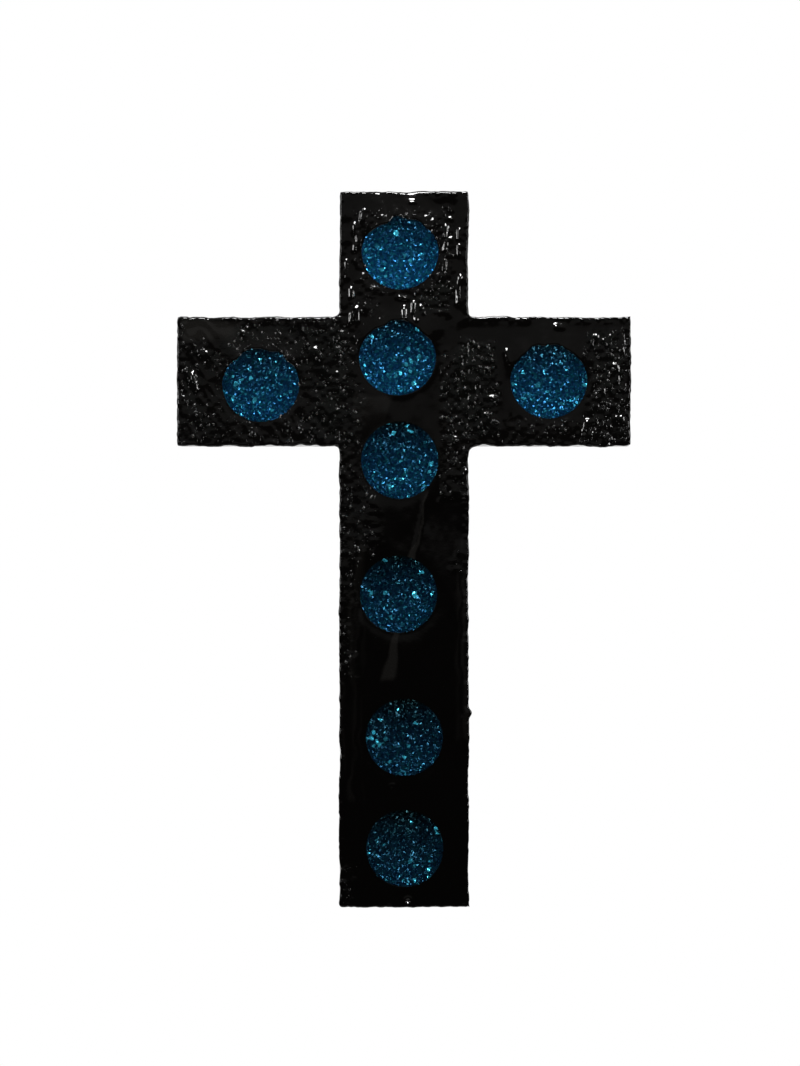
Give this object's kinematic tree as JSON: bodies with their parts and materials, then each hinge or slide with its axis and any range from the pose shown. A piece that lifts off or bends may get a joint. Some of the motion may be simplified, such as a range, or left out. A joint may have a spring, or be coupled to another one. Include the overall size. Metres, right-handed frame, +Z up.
{
  "type": "metal grave cross",
  "caption": "Flat Latin cross with a thick gloss black coat and round domed blue stones set in its front, fixed by its flat back.",
  "frame": {"origin": "on the flat back, behind the middle of the crossing", "axes": "+Z up along the upright, +Y out of the back towards the wall, +X along the cross-bar to the right as seen from the front; the stones face -Y"},
  "size_m": [0.1174, 0.0106, 0.1849],
  "materials": {
    "coated_metal": "thick gloss black coat, poured smooth in places and stippled in others",
    "blue_stone": "deep blue, finely faceted, with small bright flakes that glint as through a foil back"
  },
  "bodies": {
    "root": {"cross": "coated_metal", "stone_head": "blue_stone", "stone_crossing_upper": "blue_stone", "stone_crossing_lower": "blue_stone", "stone_foot_upper": "blue_stone", "stone_foot_middle": "blue_stone", "stone_foot_lower": "blue_stone", "stone_left_arm": "blue_stone", "stone_right_arm": "blue_stone"}
  },
  "joints": []
}
